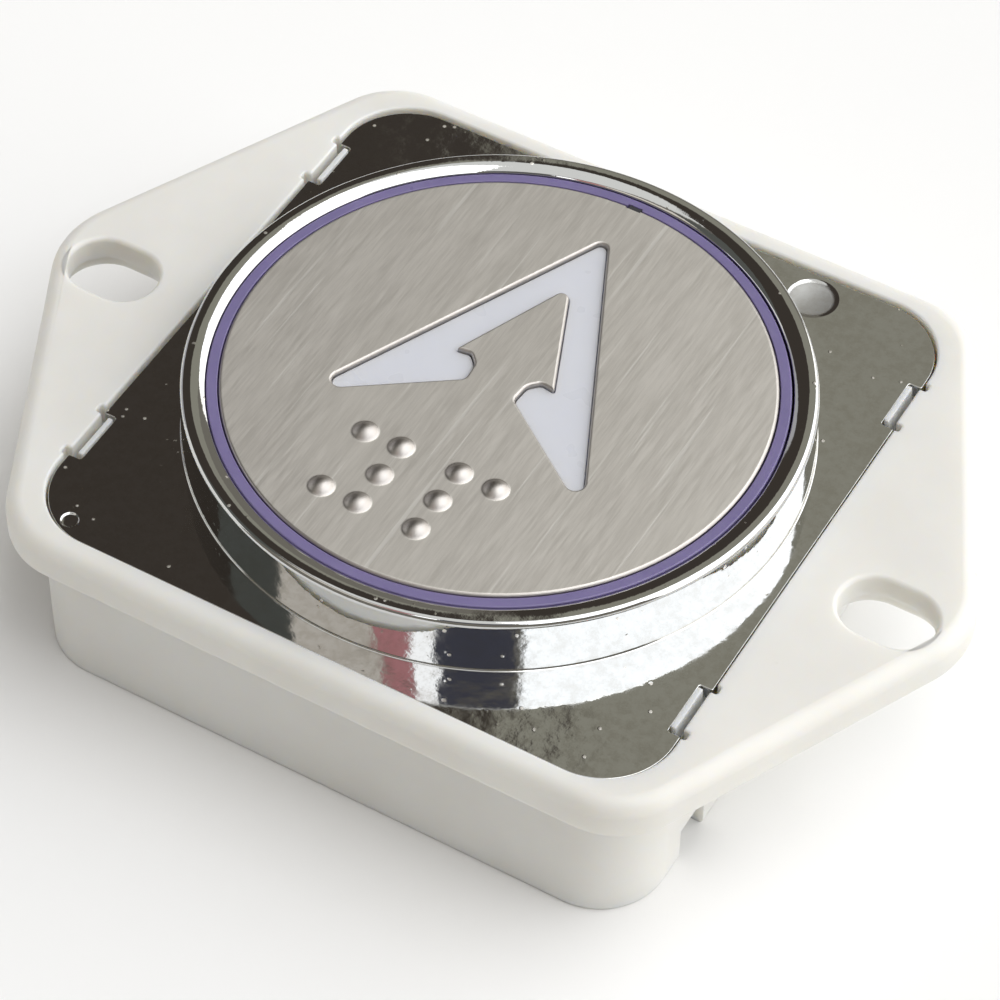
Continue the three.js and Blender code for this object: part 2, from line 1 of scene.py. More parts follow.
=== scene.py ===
"""Lift call button: the visual model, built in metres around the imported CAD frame."""
import json
import math

import bmesh
import bpy
from mathutils import Matrix, Vector


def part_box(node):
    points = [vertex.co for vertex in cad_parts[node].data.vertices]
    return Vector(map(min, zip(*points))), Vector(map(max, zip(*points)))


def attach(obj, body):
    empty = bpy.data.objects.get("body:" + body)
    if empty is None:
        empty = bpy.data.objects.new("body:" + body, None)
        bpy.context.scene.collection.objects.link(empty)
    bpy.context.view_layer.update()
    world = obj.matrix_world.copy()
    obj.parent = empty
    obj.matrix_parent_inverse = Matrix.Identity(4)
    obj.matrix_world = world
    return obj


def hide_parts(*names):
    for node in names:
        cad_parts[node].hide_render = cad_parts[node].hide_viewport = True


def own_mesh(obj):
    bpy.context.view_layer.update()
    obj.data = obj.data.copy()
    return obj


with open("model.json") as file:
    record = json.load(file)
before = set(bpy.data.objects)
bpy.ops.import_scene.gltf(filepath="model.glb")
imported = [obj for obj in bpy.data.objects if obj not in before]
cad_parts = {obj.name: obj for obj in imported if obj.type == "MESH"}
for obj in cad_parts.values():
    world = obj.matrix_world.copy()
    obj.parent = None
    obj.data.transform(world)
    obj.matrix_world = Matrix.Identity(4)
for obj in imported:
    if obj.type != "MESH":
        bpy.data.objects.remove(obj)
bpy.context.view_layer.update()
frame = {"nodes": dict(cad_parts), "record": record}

# Shapes below are in millimetres and are scaled once, when a mesh is made.
MM = 0.001
# Steps round a whole circle and round a rounded corner, and the radius above which a corner gets more
CIRCLE = 160
ARC = 8
WIDE_ARC = 18
WIDE_RADIUS = 1.5


def top_of(node):
    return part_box(node)[1].z / MM


def bottom_of(node):
    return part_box(node)[0].z / MM


# Heights, from the frame where a piece's own box gives them
PCB_TOP = top_of("pcb")
PLATE_TOP = 12.1
PLATE_BOTTOM = 9.4
FLANGE_BOTTOM = bottom_of("bezel")
FLANGE_THICK = 1.2
FLANGE_TOP = FLANGE_BOTTOM + FLANGE_THICK
RING_TOP = top_of("bezel")
LIGHT_RING_TOP = top_of("light_ring")
SEAT_Z = bottom_of("light_ring")
STEEL_BOTTOM = bottom_of("face_plate")
STEEL_THICK = 0.8
STEEL_TOP = STEEL_BOTTOM + STEEL_THICK
CARRIER_BOTTOM = 9.75

# The housing: a square box under an eared plate, with a stepped slot in each ear
BOX_HALF = (20.3, 20.4)
BOX_R = 4.2
WALL = 1.2
PLATE_CORNER_X = 20.3
PLATE_HALF_Y = 21.75
EAR_X = 31.0
PLATE_CORNER_R = 5.0
EAR_R = 6.0
SLOT_CENTRE = (25.95, -1.5)
SLOT_HALF = (2.9, 2.15)
SLOT_LIP = 1.6
SLOT_STEP_Z = PLATE_TOP - SLOT_LIP
SLOT_POCKET = 0.5
OPENING_R = 18.1
GROOVE_HALF = 1.8
GROOVE_REACH = 18.9
PILLAR = (16.2, 16.3)
WALL_NOTCH = (11.55, 14.4)
WALL_NOTCH_TOP = 2.6
RIB = (6.5, 9.5)
RIB_DEPTH = 1.0

# The bezel: a square flange, notched for four catches, under a round ring with a dished inner slope
FLANGE_HALF = (20.05, 20.1)
FLANGE_R = 4.4
RECESS_GAP = 0.12
CATCH_Y = 13.05
NOTCH_HALF = 1.85
NOTCH_DEPTH = 0.8
RING_R = 18.4
BORE_R = 16.94
DISH_START_R = 17.86
DISH_CURVE_R = 1.45
DIMPLE = (11.15, 18.15)
DIMPLE_R = 1.68
MARK = (-17.2, -19.0)
MARK_R = 0.58

# The button
STEEL_R = 16.14
LIGHT_RING_R = 16.86
LIGHT_RING_BORE_R = 15.4
LIGHT_RING_FOOT = 13.3
KEY_HALF = 0.4
KEY_INNER = 15.95
KEY_OUTER = 16.3
KEY_GAP = 0.05
# The button stands this far off centre in its bore, pushed over by the play that its guides leave.
PLAY = (-0.04, -0.02)

# Inside
CONNECTOR_Y = -9.8
SPRING_CIRCLE_R = 13.8
QUARTERS = (45, 135, 225, 315)
MIRRORED = ((1, 1), (-1, 1), (-1, -1), (1, -1))


# ---- Outlines -------------------------------------------------------------------------------


def outline(corners, radii, grow=0.0, steps=ARC):
    """A counter-clockwise outline with corner k rounded by radii[k], pushed outwards by grow."""
    count = len(corners)
    places = [Vector(c) for c in corners]
    along = [(places[(k + 1) % count] - places[k]).normalized() for k in range(count)]
    points = []
    for k in range(count):
        before, after = along[k - 1], along[k]
        turn = before.x * after.y - before.y * after.x
        side = 1.0 if turn > 0 else -1.0
        arc = WIDE_ARC if radii[k] > WIDE_RADIUS else steps
        normals = Vector((before.y + after.y, -before.x - after.x))
        corner = places[k] + normals * (grow / (1 + before.dot(after)))
        radius = max(radii[k] + side * grow, 0.004)
        half = math.acos(max(-1.0, min(1.0, -before.dot(after)))) / 2
        reach = radius / math.tan(half)
        middle = corner + (after - before).normalized() * (radius / math.sin(half))
        start = corner - before * reach - middle
        sweep = side * (math.pi - 2 * half)
        for i in range(arc + 1):
            spoke = start.copy()
            spoke.rotate(Matrix.Rotation(sweep * i / arc, 2))
            points.append(middle + spoke)
    return points


def rectangle(half_x, half_y, radius, grow=0.0, centre=(0, 0), steps=ARC):
    x, y = centre
    corners = [(x + half_x, y - half_y), (x + half_x, y + half_y),
               (x - half_x, y + half_y), (x - half_x, y - half_y)]
    return outline(corners, [radius] * 4, grow, steps)


def hexagon(grow=0.0):
    """The eared plate."""
    right = [(PLATE_CORNER_X, -PLATE_HALF_Y), (EAR_X, 0.0), (PLATE_CORNER_X, PLATE_HALF_Y)]
    left = [(-x, -y) for x, y in right]
    return outline([*right, *left], [PLATE_CORNER_R, EAR_R, PLATE_CORNER_R] * 2, grow)


def circle(radius, centre=(0, 0), count=CIRCLE):
    turn = 2 * math.pi / count
    return [Vector((centre[0] + radius * math.cos(turn * k), centre[1] + radius * math.sin(turn * k)))
            for k in range(count)]


def on_circle(radius, degrees):
    angle = math.radians(degrees)
    return (radius * math.cos(angle), radius * math.sin(angle))


def slot(side, grow=0.0):
    centre = (side * SLOT_CENTRE[0], SLOT_CENTRE[1])
    return rectangle(*SLOT_HALF, SLOT_HALF[1] - 0.02, grow, centre)


def flange_outline(grow=0.0):
    """The bezel's square flange, with a notch for each catch."""
    return notched_square(FLANGE_HALF, FLANGE_R, -NOTCH_DEPTH, [(NOTCH_HALF, -NOTCH_HALF, 0.12)], grow)


def recess_outline(grow=0.0):
    """The recess in the plate: at each catch it widens at both ends and closes in between them."""
    half = (FLANGE_HALF[0] + RECESS_GAP, FLANGE_HALF[1] + RECESS_GAP)
    inner, outer, rounding = 1.55, 2.1, 0.13
    spans = [(outer, inner, rounding), (-inner, -outer, rounding)]
    return notched_square(half, FLANGE_R + 0.1, 0.28, spans, grow, -0.13)


def notched_square(half, radius, depth, spans, grow, between=None):
    """A rounded rectangle whose left and right sides step by depth over each span around +-CATCH_Y.

    With between given, the side runs at that step from the first span to the second.
    """
    edges = sorted(tuple(sorted(span[:2])) for span in spans)
    rounding = spans[0][2]
    right = []
    for centre in (-CATCH_Y, CATCH_Y):
        for low, high in edges:
            right.append((half[0], centre + low, rounding))
            right.append((half[0] + depth, centre + low, rounding))
            right.append((half[0] + depth, centre + high, rounding))
            right.append((half[0], centre + high, rounding))
        if between is not None:
            right[-5] = (half[0] + between, centre + edges[0][1], rounding)
            right[-4] = (half[0] + between, centre + edges[1][0], rounding)
    left = [(-x, -y, r) for x, y, r in right]
    run = [(half[0], -half[1], radius), *right, (half[0], half[1], radius)]
    run += [(-half[0], half[1], radius), *left, (-half[0], -half[1], radius)]
    return outline([(x, y) for x, y, _ in run], [r for _, _, r in run], grow, 5)


# ---- Mesh making ----------------------------------------------------------------------------


class Shell:
    """A closed surface made of rings of points, in millimetres."""

    def __init__(self):
        self.bm = bmesh.new()

    def ring(self, points, z):
        return [self.bm.verts.new((p[0], p[1], z)) for p in points]

    def skin(self, *rings):
        for low, high in zip(rings, rings[1:]):
            count = len(low)
            for k in range(count):
                after = (k + 1) % count
                self.bm.faces.new((low[k], low[after], high[after], high[k]))
        return rings[-1]

    def fill(self, *rings):
        """A flat face bounded by the first ring, with the others as holes or islands."""
        edges = []
        for ring in rings:
            for a, b in zip(ring, ring[1:] + ring[:1]):
                edges.append(self.bm.edges.get((a, b)) or self.bm.edges.new((a, b)))
        bmesh.ops.triangle_fill(self.bm, use_beauty=True, edges=edges)

    def stack(self, shape, levels):
        """Rings of shape(grow) at each (grow, z) level, skinned in order; returns the first and last."""
        rings = [self.ring(shape(grow), z) for grow, z in levels]
        self.skin(*rings)
        return rings[0], rings[-1]

    def turned(self, profile, count=CIRCLE, centre=(0, 0)):
        """An open surface turned about a vertical axis; returns its first and last rings."""
        rings = [self.ring(circle(radius, centre, count), z) for radius, z in profile]
        self.skin(*rings)
        return rings[0], rings[-1]

    def piece(self, name):
        bmesh.ops.recalc_face_normals(self.bm, faces=self.bm.faces)
        for vertex in self.bm.verts:
            vertex.co *= MM
        mesh = bpy.data.meshes.new(name)
        self.bm.to_mesh(mesh)
        self.bm.free()
        obj = bpy.data.objects.new(name, mesh)
        bpy.context.scene.collection.objects.link(obj)
        return obj


def fillet(radius, z, steps=5, outwards=-1, down=True):
    """(grow, z) levels of a rounded edge that ends flat at height z."""
    levels = []
    for k in range(steps + 1):
        angle = math.pi / 2 * k / steps
        drop = radius * (1 - math.sin(angle))
        levels.append((outwards * radius * (1 - math.cos(angle)), z - drop if down else z + drop))
    return levels


FLAT_AREA = 8e-6
COPLANAR = 0.999995


def flat_areas(bm):
    """For each face, the whole area of the flat region that it belongs to."""
    region = {}
    for seed in bm.faces:
        if seed in region:
            continue
        members, waiting = [seed], [seed]
        region[seed] = 0.0
        while waiting:
            face = waiting.pop()
            for edge in face.edges:
                for other in edge.link_faces:
                    if other not in region and other.normal.dot(seed.normal) > COPLANAR:
                        region[other] = 0.0
                        members.append(other)
                        waiting.append(other)
        total = sum(face.calc_area() for face in members)
        for face in members:
            region[face] = total
    return region


def finish_surface(obj, material, degrees=32):
    """Smooth shading that stays crisp at edges sharper than the angle, and exactly flat on flat regions."""
    mesh = obj.data
    mesh.shade_smooth()
    bm = bmesh.new()
    bm.from_mesh(mesh)
    bm.normal_update()
    region = flat_areas(bm)
    area = {face: face.calc_area() for face in bm.faces}
    limit = math.cos(math.radians(degrees))
    normals = []
    for face in bm.faces:
        for corner in face.loops:
            near = [other for other in corner.vert.link_faces if other.normal.dot(face.normal) > limit]
            widest = max(near, key=region.get, default=face)
            if region[widest] > FLAT_AREA:
                normals.append(widest.normal.copy())
            else:
                normals.append(sum((other.normal * area[other] for other in near), Vector()).normalized())
    bm.free()
    mesh.normals_split_custom_set(normals)
    mesh.materials.clear()
    mesh.materials.append(material)
    return obj


def block(name, low, high):
    shell = Shell()
    points = [(low[0], low[1]), (high[0], low[1]), (high[0], high[1]), (low[0], high[1])]
    first = shell.ring(points, low[2])
    last = shell.ring(points, high[2])
    shell.skin(first, last)
    shell.fill(first)
    shell.fill(last)
    return shell.piece(name)


def column(name, radius, low, high, centre, count=32):
    shell = Shell()
    first, last = shell.turned([(radius, low), (radius, high)], count, centre)
    shell.fill(first)
    shell.fill(last)
    return shell.piece(name)


def combine(obj, operation, tools):
    """Joins or cuts obj with each tool and removes the tool."""
    for tool in tools:
        modifier = obj.modifiers.new("combine", "BOOLEAN")
        modifier.operation = operation
        modifier.solver = "MANIFOLD"
        modifier.object = tool
        bpy.context.view_layer.update()
        graph = bpy.context.evaluated_depsgraph_get()
        mesh = bpy.data.meshes.new_from_object(obj.evaluated_get(graph))
        obj.modifiers.clear()
        old, obj.data = obj.data, mesh
        bpy.data.meshes.remove(old)
        bpy.data.objects.remove(tool)
    return obj


def stand_for(obj, node, body):
    if body == "button_body":
        obj.data.transform(Matrix.Translation((PLAY[0] * MM, PLAY[1] * MM, 0)))
    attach(obj, body)
    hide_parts(node)
    return obj


# ---- Materials ------------------------------------------------------------------------------


class Finish:
    """A Principled material whose texture nodes are added one by one."""

    def __init__(self, name, **sockets):
        self.material = bpy.data.materials.new(name)
        self.material.use_nodes = True
        self.nodes = self.material.node_tree.nodes
        self.links = self.material.node_tree.links
        self.shader = self.nodes["Principled BSDF"]
        for socket, value in sockets.items():
            self.shader.inputs[socket.replace("_", " ")].default_value = value
        self.place = self.nodes.new("ShaderNodeTexCoord").outputs["Object"]

    def scaled(self, x, y, z, turn=0.0):
        mapping = self.nodes.new("ShaderNodeMapping")
        mapping.inputs["Scale"].default_value = (x, y, z)
        mapping.inputs["Rotation"].default_value = (0, 0, turn)
        self.links.new(self.place, mapping.inputs["Vector"])
        return mapping.outputs["Vector"]

    def noise(self, scale, detail=2.0, roughness=0.5, vector=None):
        node = self.nodes.new("ShaderNodeTexNoise")
        node.inputs["Scale"].default_value = scale
        node.inputs["Detail"].default_value = detail
        node.inputs["Roughness"].default_value = roughness
        self.links.new(vector or self.place, node.inputs["Vector"])
        return node.outputs["Fac"]

    def spots(self, scale, vector=None):
        node = self.nodes.new("ShaderNodeTexVoronoi")
        node.inputs["Scale"].default_value = scale
        self.links.new(vector or self.place, node.inputs["Vector"])
        return node.outputs["Distance"]

    def spread(self, value, low, high, to_low, to_high, smooth=True):
        node = self.nodes.new("ShaderNodeMapRange")
        node.interpolation_type = "SMOOTHSTEP" if smooth else "LINEAR"
        for socket, number in zip(("From Min", "From Max", "To Min", "To Max"), (low, high, to_low, to_high)):
            node.inputs[socket].default_value = number
        self.links.new(value, node.inputs["Value"])
        return node.outputs["Result"]

    def maths(self, operation, a, b):
        node = self.nodes.new("ShaderNodeMath")
        node.operation = operation
        for socket, value in zip(node.inputs, (a, b)):
            if isinstance(value, (int, float)):
                socket.default_value = value
            else:
                self.links.new(value, socket)
        return node.outputs["Value"]

    def mix(self, factor, first, second):
        node = self.nodes.new("ShaderNodeMix")
        node.data_type = "RGBA"
        self.links.new(factor, node.inputs["Factor"])
        for socket, value in ((node.inputs["A"], first), (node.inputs["B"], second)):
            if isinstance(value, tuple):
                socket.default_value = (*value, 1.0)
            else:
                self.links.new(value, socket)
        return node.outputs["Result"]

    def near(self, centre, full, none):
        """One within the full radius of a vertical axis, falling to nothing at the outer radius."""
        node = self.nodes.new("ShaderNodeVectorMath")
        node.operation = "DISTANCE"
        self.links.new(self.scaled(1, 1, 0), node.inputs[0])
        node.inputs[1].default_value = (centre[0] * MM, centre[1] * MM, 0)
        return self.spread(node.outputs["Value"], full * MM, none * MM, 1.0, 0.0)

    def set(self, socket, value):
        self.links.new(value, self.shader.inputs[socket])
        return self

    def bump(self, height, strength, distance, under=None):
        node = self.nodes.new("ShaderNodeBump")
        node.inputs["Strength"].default_value = strength
        node.inputs["Distance"].default_value = distance
        self.links.new(height, node.inputs["Height"])
        if under is not None:
            self.links.new(under, node.inputs["Normal"])
        self.links.new(node.outputs["Normal"], self.shader.inputs["Normal"])
        return node.outputs["Normal"]


def white_plastic():
    """Milky moulded plastic: faint clouding, a fine spark-eroded grain and a few dull patches."""
    f = Finish("white_plastic", Roughness=0.42, IOR=1.49, Subsurface_Weight=0.6, Subsurface_Scale=0.0018)
    f.shader.inputs["Subsurface Radius"].default_value = (1.0, 0.85, 0.6)
    clouds = f.spread(f.noise(95, 3, 0.6), 0.3, 0.75, 0.0, 1.0)
    specks = f.spread(f.spots(420), 0.03, 0.09, 1.0, 0.0)
    rare = f.spread(f.noise(160, 2), 0.6, 0.68, 0.0, 0.5)
    tone = f.mix(clouds, (0.765, 0.76, 0.73), (0.725, 0.715, 0.68))
    f.set("Base Color", f.mix(f.maths("MULTIPLY", specks, rare), tone, (0.42, 0.40, 0.36)))
    f.set("Roughness", f.spread(f.noise(140, 3), 0.3, 0.7, 0.36, 0.5))
    grain = f.bump(f.noise(5200, 2), 0.12, 0.00002)
    f.bump(f.noise(240, 2), 0.08, 0.0001, grain)
    return f.material


def chrome():
    """Bright plating: slow ripples from the moulding below it, wipe marks in the gloss, small dust specks,
    and low on the flange darker, duller patches that are partly haze and partly a painted reflection of
    blotchy surroundings.
    """
    f = Finish("chrome_plate", Metallic=1.0, Roughness=0.05)
    axes = f.nodes.new("ShaderNodeSeparateXYZ")
    f.links.new(f.place, axes.inputs["Vector"])
    low_down = f.spread(axes.outputs["Z"], (FLANGE_TOP + 0.05) * MM, (FLANGE_TOP + 0.5) * MM, 1.0, 0.0)
    cloud = f.maths("ADD", f.noise(1500, 4, 0.75), f.maths("MULTIPLY", f.noise(260, 3, 0.6), 0.35))
    # Low on the flange: darker, duller patches, partly haze and partly a painted reflection of blotchy
    # surroundings.
    haze_and_painted_reflection = f.maths("MULTIPLY", f.spread(cloud, 0.52, 0.86, 0.0, 1.0), low_down)
    wipes = f.spread(f.noise(60, 3, 0.6, f.scaled(16, 1.2, 1, 0.6)), 0.52, 0.7, 0.0, 1.0)
    specks = f.spread(f.spots(1200), 0.08, 0.18, 1.0, 0.0)
    dust = f.maths("MULTIPLY", specks, f.spread(f.noise(420, 2), 0.54, 0.61, 0.0, 1.0))
    # The darker tone in those patches is partly haze and partly painted reflection.
    tone = f.mix(haze_and_painted_reflection, (0.625, 0.63, 0.625), (0.555, 0.55, 0.53))
    f.set("Base Color", f.mix(dust, tone, (0.82, 0.79, 0.74)))
    rough = f.maths("ADD", f.spread(haze_and_painted_reflection, 0, 1, 0.035, 0.095), f.maths("MULTIPLY", wipes, 0.03))
    dimple = f.near(DIMPLE, DIMPLE_R - 0.48, DIMPLE_R - 0.06)
    rough = f.maths("MAXIMUM", rough, f.maths("MULTIPLY", dimple, 0.42))
    f.set("Roughness", f.maths("ADD", rough, f.maths("MULTIPLY", dust, 0.35)))
    ripples = f.bump(f.noise(260, 2), 0.12, 0.0003)
    peel = f.bump(f.noise(2600, 2), 0.08, 0.00004, ripples)
    f.bump(dust, 0.25, 0.00003, peel)
    return f.material


def brushed_steel():
    """Stainless face brushed along the arrow, with scratches and stains; slopes, rounded edges and dot tops
    get a darker metal tone, which is painted shade.
    """
    f = Finish("brushed_steel", Metallic=0.8, Roughness=0.42, Anisotropic=0.5)
    along = f.nodes.new("ShaderNodeCombineXYZ")
    along.inputs["Y"].default_value = 1.0
    f.links.new(along.outputs["Vector"], f.shader.inputs["Tangent"])
    fine = f.noise(1, 4, 0.65, f.scaled(6500, 420, 6500))
    coarse = f.noise(1, 2, 0.5, f.scaled(1500, 75, 1500))
    streaks = f.maths("ADD", f.maths("MULTIPLY", fine, 0.75), f.maths("MULTIPLY", coarse, 0.25))
    scratch = f.spread(f.noise(1, 1, 0.4, f.scaled(3000, 60, 3000, 0.1)), 0.66, 0.74, 0.0, 1.0)
    axes = f.nodes.new("ShaderNodeSeparateXYZ")
    f.links.new(f.nodes.new("ShaderNodeNewGeometry").outputs["Normal"], axes.inputs["Vector"])
    height = f.nodes.new("ShaderNodeSeparateXYZ")
    f.links.new(f.place, height.inputs["Vector"])
    dot_top = f.spread(height.outputs["Z"], (STEEL_TOP + 0.08) * MM, (STEEL_TOP + 0.3) * MM, 0.0, 1.0)
    # Painted shade: slopes, rounded edges and dot tops get a darker, fully metallic tone that darkens the
    # dots' crescents and dims their highlights.
    sloped_painted_shade = f.maths("MAXIMUM", f.spread(axes.outputs["Z"], 0.90, 0.985, 1.0, 0.0), dot_top)
    stain = f.spread(f.noise(120, 3, 0.6), 0.42, 0.7, 0.0, 1.0)
    tone = f.mix(f.spread(streaks, 0.3, 0.7, 0.0, 1.0), (0.695, 0.667, 0.622), (0.82, 0.79, 0.742))
    tone = f.mix(f.maths("MULTIPLY", stain, 0.35), tone, (0.68, 0.655, 0.605))
    tone = f.mix(f.maths("MULTIPLY", scratch, 0.6), tone, (0.92, 0.90, 0.86))
    # The darker tone laid on here is painted shade on slopes, rounded edges and dot tops.
    f.set("Base Color", f.mix(sloped_painted_shade, tone, (0.50, 0.475, 0.45)))
    f.set("Metallic", f.spread(sloped_painted_shade, 0, 1, 0.8, 1.0))
    rough = f.spread(streaks, 0.25, 0.75, 0.38, 0.46)
    f.set("Roughness", f.maths("ADD", rough, f.maths("MULTIPLY", stain, 0.04)))
    f.bump(f.maths("SUBTRACT", streaks, f.maths("MULTIPLY", scratch, 0.4)), 0.35, 0.000012)
    return f.material


def violet_diffuser():
    """Tinted plastic that scatters light, slightly uneven in tone and gloss."""
    f = Finish("violet_diffuser", Roughness=0.3, IOR=1.49, Subsurface_Weight=0.4, Subsurface_Scale=0.0008)
    f.shader.inputs["Subsurface Radius"].default_value = (0.7, 0.5, 1.0)
    tone = f.spread(f.noise(260, 3, 0.6), 0.15, 0.85, 0.0, 1.0)
    f.set("Base Color", f.mix(tone, (0.20, 0.17, 0.33), (0.168, 0.145, 0.285)))
    f.set("Roughness", f.spread(f.noise(500, 2), 0.1, 0.9, 0.26, 0.38))
    f.bump(f.noise(1500, 2), 0.1, 0.00002)
    return f.material


def milky_lens():
    """Cool white translucent plastic, slightly uneven in tone and gloss."""
    f = Finish("milky_lens", Roughness=0.28, IOR=1.49, Subsurface_Weight=0.5, Subsurface_Scale=0.0015)
    f.shader.inputs["Subsurface Radius"].default_value = (0.8, 0.85, 1.0)
    tone = f.spread(f.noise(130, 3, 0.6), 0.15, 0.85, 0.0, 1.0)
    f.set("Base Color", f.mix(tone, (0.635, 0.65, 0.70), (0.605, 0.62, 0.675)))
    f.set("Roughness", f.spread(f.noise(420, 2), 0.15, 0.85, 0.24, 0.36))
    f.bump(f.noise(2200, 2), 0.06, 0.00002)
    return f.material


def moulded(name, light, dark, roughness):
    """Small moulded plastic parts: two close tones, uneven gloss and a fine grain."""
    f = Finish(name, IOR=1.49)
    f.set("Base Color", f.mix(f.spread(f.noise(220, 3, 0.6), 0.35, 0.7, 0.0, 1.0), light, dark))
    f.set("Roughness", f.spread(f.noise(600, 2), 0.3, 0.7, roughness - 0.06, roughness + 0.08))
    f.bump(f.noise(4200, 2), 0.15, 0.00002)
    return f.material


def plain_metal(name, light, dark, roughness, stretch=(1, 1, 1)):
    """Small metal parts: drawn or rolled marks along one direction and dull patches."""
    f = Finish(name, Metallic=1.0)
    marks = f.noise(900, 3, 0.6, f.scaled(*stretch))
    f.set("Base Color", f.mix(f.spread(marks, 0.35, 0.7, 0.0, 1.0), light, dark))
    f.set("Roughness", f.spread(f.noise(400, 3, 0.6), 0.3, 0.7, roughness - 0.07, roughness + 0.1))
    f.bump(marks, 0.15, 0.00001)
    return f.material


def circuit_board():
    """Green solder mask, lighter and raised where a grid of copper tracks runs under it."""
    f = Finish("circuit_board", IOR=1.5)
    grid = f.nodes.new("ShaderNodeTexBrick")
    grid.inputs["Scale"].default_value = 420
    grid.inputs["Mortar Size"].default_value = 0.09
    for socket, level in (("Color1", 0), ("Color2", 0), ("Mortar", 1)):
        grid.inputs[socket].default_value = (level, level, level, 1)
    f.links.new(f.place, grid.inputs["Vector"])
    tracks = f.maths("MULTIPLY", grid.outputs["Color"], f.spread(f.noise(160, 1), 0.48, 0.52, 0.0, 1.0))
    f.set("Base Color", f.mix(tracks, (0.012, 0.13, 0.04), (0.03, 0.24, 0.07)))
    f.set("Roughness", f.spread(f.noise(1800, 2), 0.3, 0.7, 0.25, 0.4))
    f.bump(tracks, 0.3, 0.00003)
    return f.material


FINISHES = {
    "housing": white_plastic(),
    "chrome": chrome(),
    "steel": brushed_steel(),
    "violet_diffuser": violet_diffuser(),
    "lens": milky_lens(),
    # The carrier is near-black so that its key shows as a dark spot in the notch of the ring and steel:
    # painted shade for that deep notch.
    "carrier": moulded("dark_carrier", (0.035, 0.035, 0.04), (0.022, 0.022, 0.026), 0.42),
    "baffle": moulded("white_baffle", (0.80, 0.80, 0.77), (0.72, 0.71, 0.68), 0.55),
    "spring_wire": plain_metal("spring_wire", (0.52, 0.52, 0.54), (0.40, 0.40, 0.42), 0.25, (1, 1, 6)),
    "switch_plastic": moulded("switch_plastic", (0.02, 0.02, 0.022), (0.011, 0.011, 0.012), 0.5),
    "switch_cover": plain_metal("switch_cover", (0.60, 0.60, 0.60), (0.50, 0.50, 0.51), 0.3, (5, 1, 1)),
    "board": circuit_board(),
    "led": moulded("lamp_resin", (0.80, 0.76, 0.50), (0.72, 0.66, 0.36), 0.22),
    "resistor": moulded("resistor_body", (0.016, 0.016, 0.02), (0.009, 0.009, 0.012), 0.4),
    "connector": moulded("connector_nylon", (0.80, 0.775, 0.68), (0.73, 0.70, 0.59), 0.42),
    "pin": plain_metal("tinned_pin", (0.66, 0.63, 0.55), (0.52, 0.49, 0.41), 0.22, (1, 1, 5)),
    "screw": plain_metal("zinc_screw", (0.50, 0.50, 0.51), (0.38, 0.38, 0.39), 0.3),
}


# ---- Fixed shell ----------------------------------------------------------------------------


def housing():
    """The eared plate and the square box in one moulding, with four catches, pillars and ribs."""
    shell = Shell()

    def skirt(grow):
        return rectangle(*BOX_HALF, BOX_R, grow)

    def cavity(grow):
        return rectangle(BOX_HALF[0] - WALL, BOX_HALF[1] - WALL, BOX_R - WALL, grow)

    web, web_steps = 0.45, 4
    rise = [(0.0, PLATE_BOTTOM - web)]
    for k in range(1, web_steps + 1):
        angle = math.pi / 2 * k / web_steps
        rise.append((web * (1 - math.cos(angle)), PLATE_BOTTOM - web * (1 - math.sin(angle))))
    foot, under_inner = shell.stack(skirt, [*fillet(0.3, 0.0, down=False)[::-1], *rise])
    under_outer, top_outer = shell.stack(
        hexagon, [*fillet(0.4, PLATE_BOTTOM, 4, down=False)[::-1], *fillet(1.05, PLATE_TOP, 8)])
    recess_top, floor_outer = shell.stack(
        recess_outline, [*[(-g, z) for g, z in fillet(0.15, PLATE_TOP, 4)][::-1], (0.0, FLANGE_BOTTOM)])
    opening_top = shell.ring(opening_outline(), FLANGE_BOTTOM)
    opening_low = shell.ring(opening_outline(), PLATE_BOTTOM)
    shell.skin(opening_top, opening_low)
    ceiling, rim = shell.stack(cavity, [(0.0, PLATE_BOTTOM), (0.0, 0.15), (0.15, 0.0)])
    shell.skin(foot, rim)
    shell.fill(ceiling, opening_low)
    slot_tops, slot_feet = [], []
    for side in (1, -1):
        levels = [*[(-g, z) for g, z in fillet(0.3, PLATE_TOP, 4)][::-1], (0.0, SLOT_STEP_Z)]
        top, step = shell.stack(lambda grow: slot(side, grow), levels)
        pocket = [(SLOT_POCKET, SLOT_STEP_Z), (SLOT_POCKET, PLATE_BOTTOM)]
        step_out, low = shell.stack(lambda grow: slot(side, grow), pocket)
        shell.skin(step, step_out)
        slot_tops.append(top)
        slot_feet.append(low)
    islands = [ring for sx, sy in MIRRORED for ring in catch(shell, sx, sy)]
    shell.fill(top_outer, recess_top, *slot_tops)
    shell.fill(under_outer, under_inner, *slot_feet)
    shell.fill(floor_outer, opening_top, *islands)
    obj = shell.piece("housing_shell")
    combine(obj, "UNION", [*pillars(), *board_ribs()])
    combine(obj, "DIFFERENCE", [*wall_notches(), *screw_pilots()])
    return stand_for(finish_surface(obj, FINISHES["housing"]), "housing", "housing_body")


def opening_outline():
    """The round opening with a straight groove front and back for the carrier's lugs."""
    start = math.asin(GROOVE_HALF / OPENING_R)
    steps = 60
    points = []
    for quarter in (math.pi / 2, 3 * math.pi / 2):
        first, last = quarter - math.pi + start, quarter - start
        angles = [first + (last - first) * k / steps for k in range(steps + 1)]
        points += [Vector(on_circle(OPENING_R, math.degrees(angle))) for angle in angles]
        sign = 1 if quarter < math.pi else -1
        points += [Vector((sign * GROOVE_HALF, sign * GROOVE_REACH)),
                   Vector((-sign * GROOVE_HALF, sign * GROOVE_REACH))]
    return points


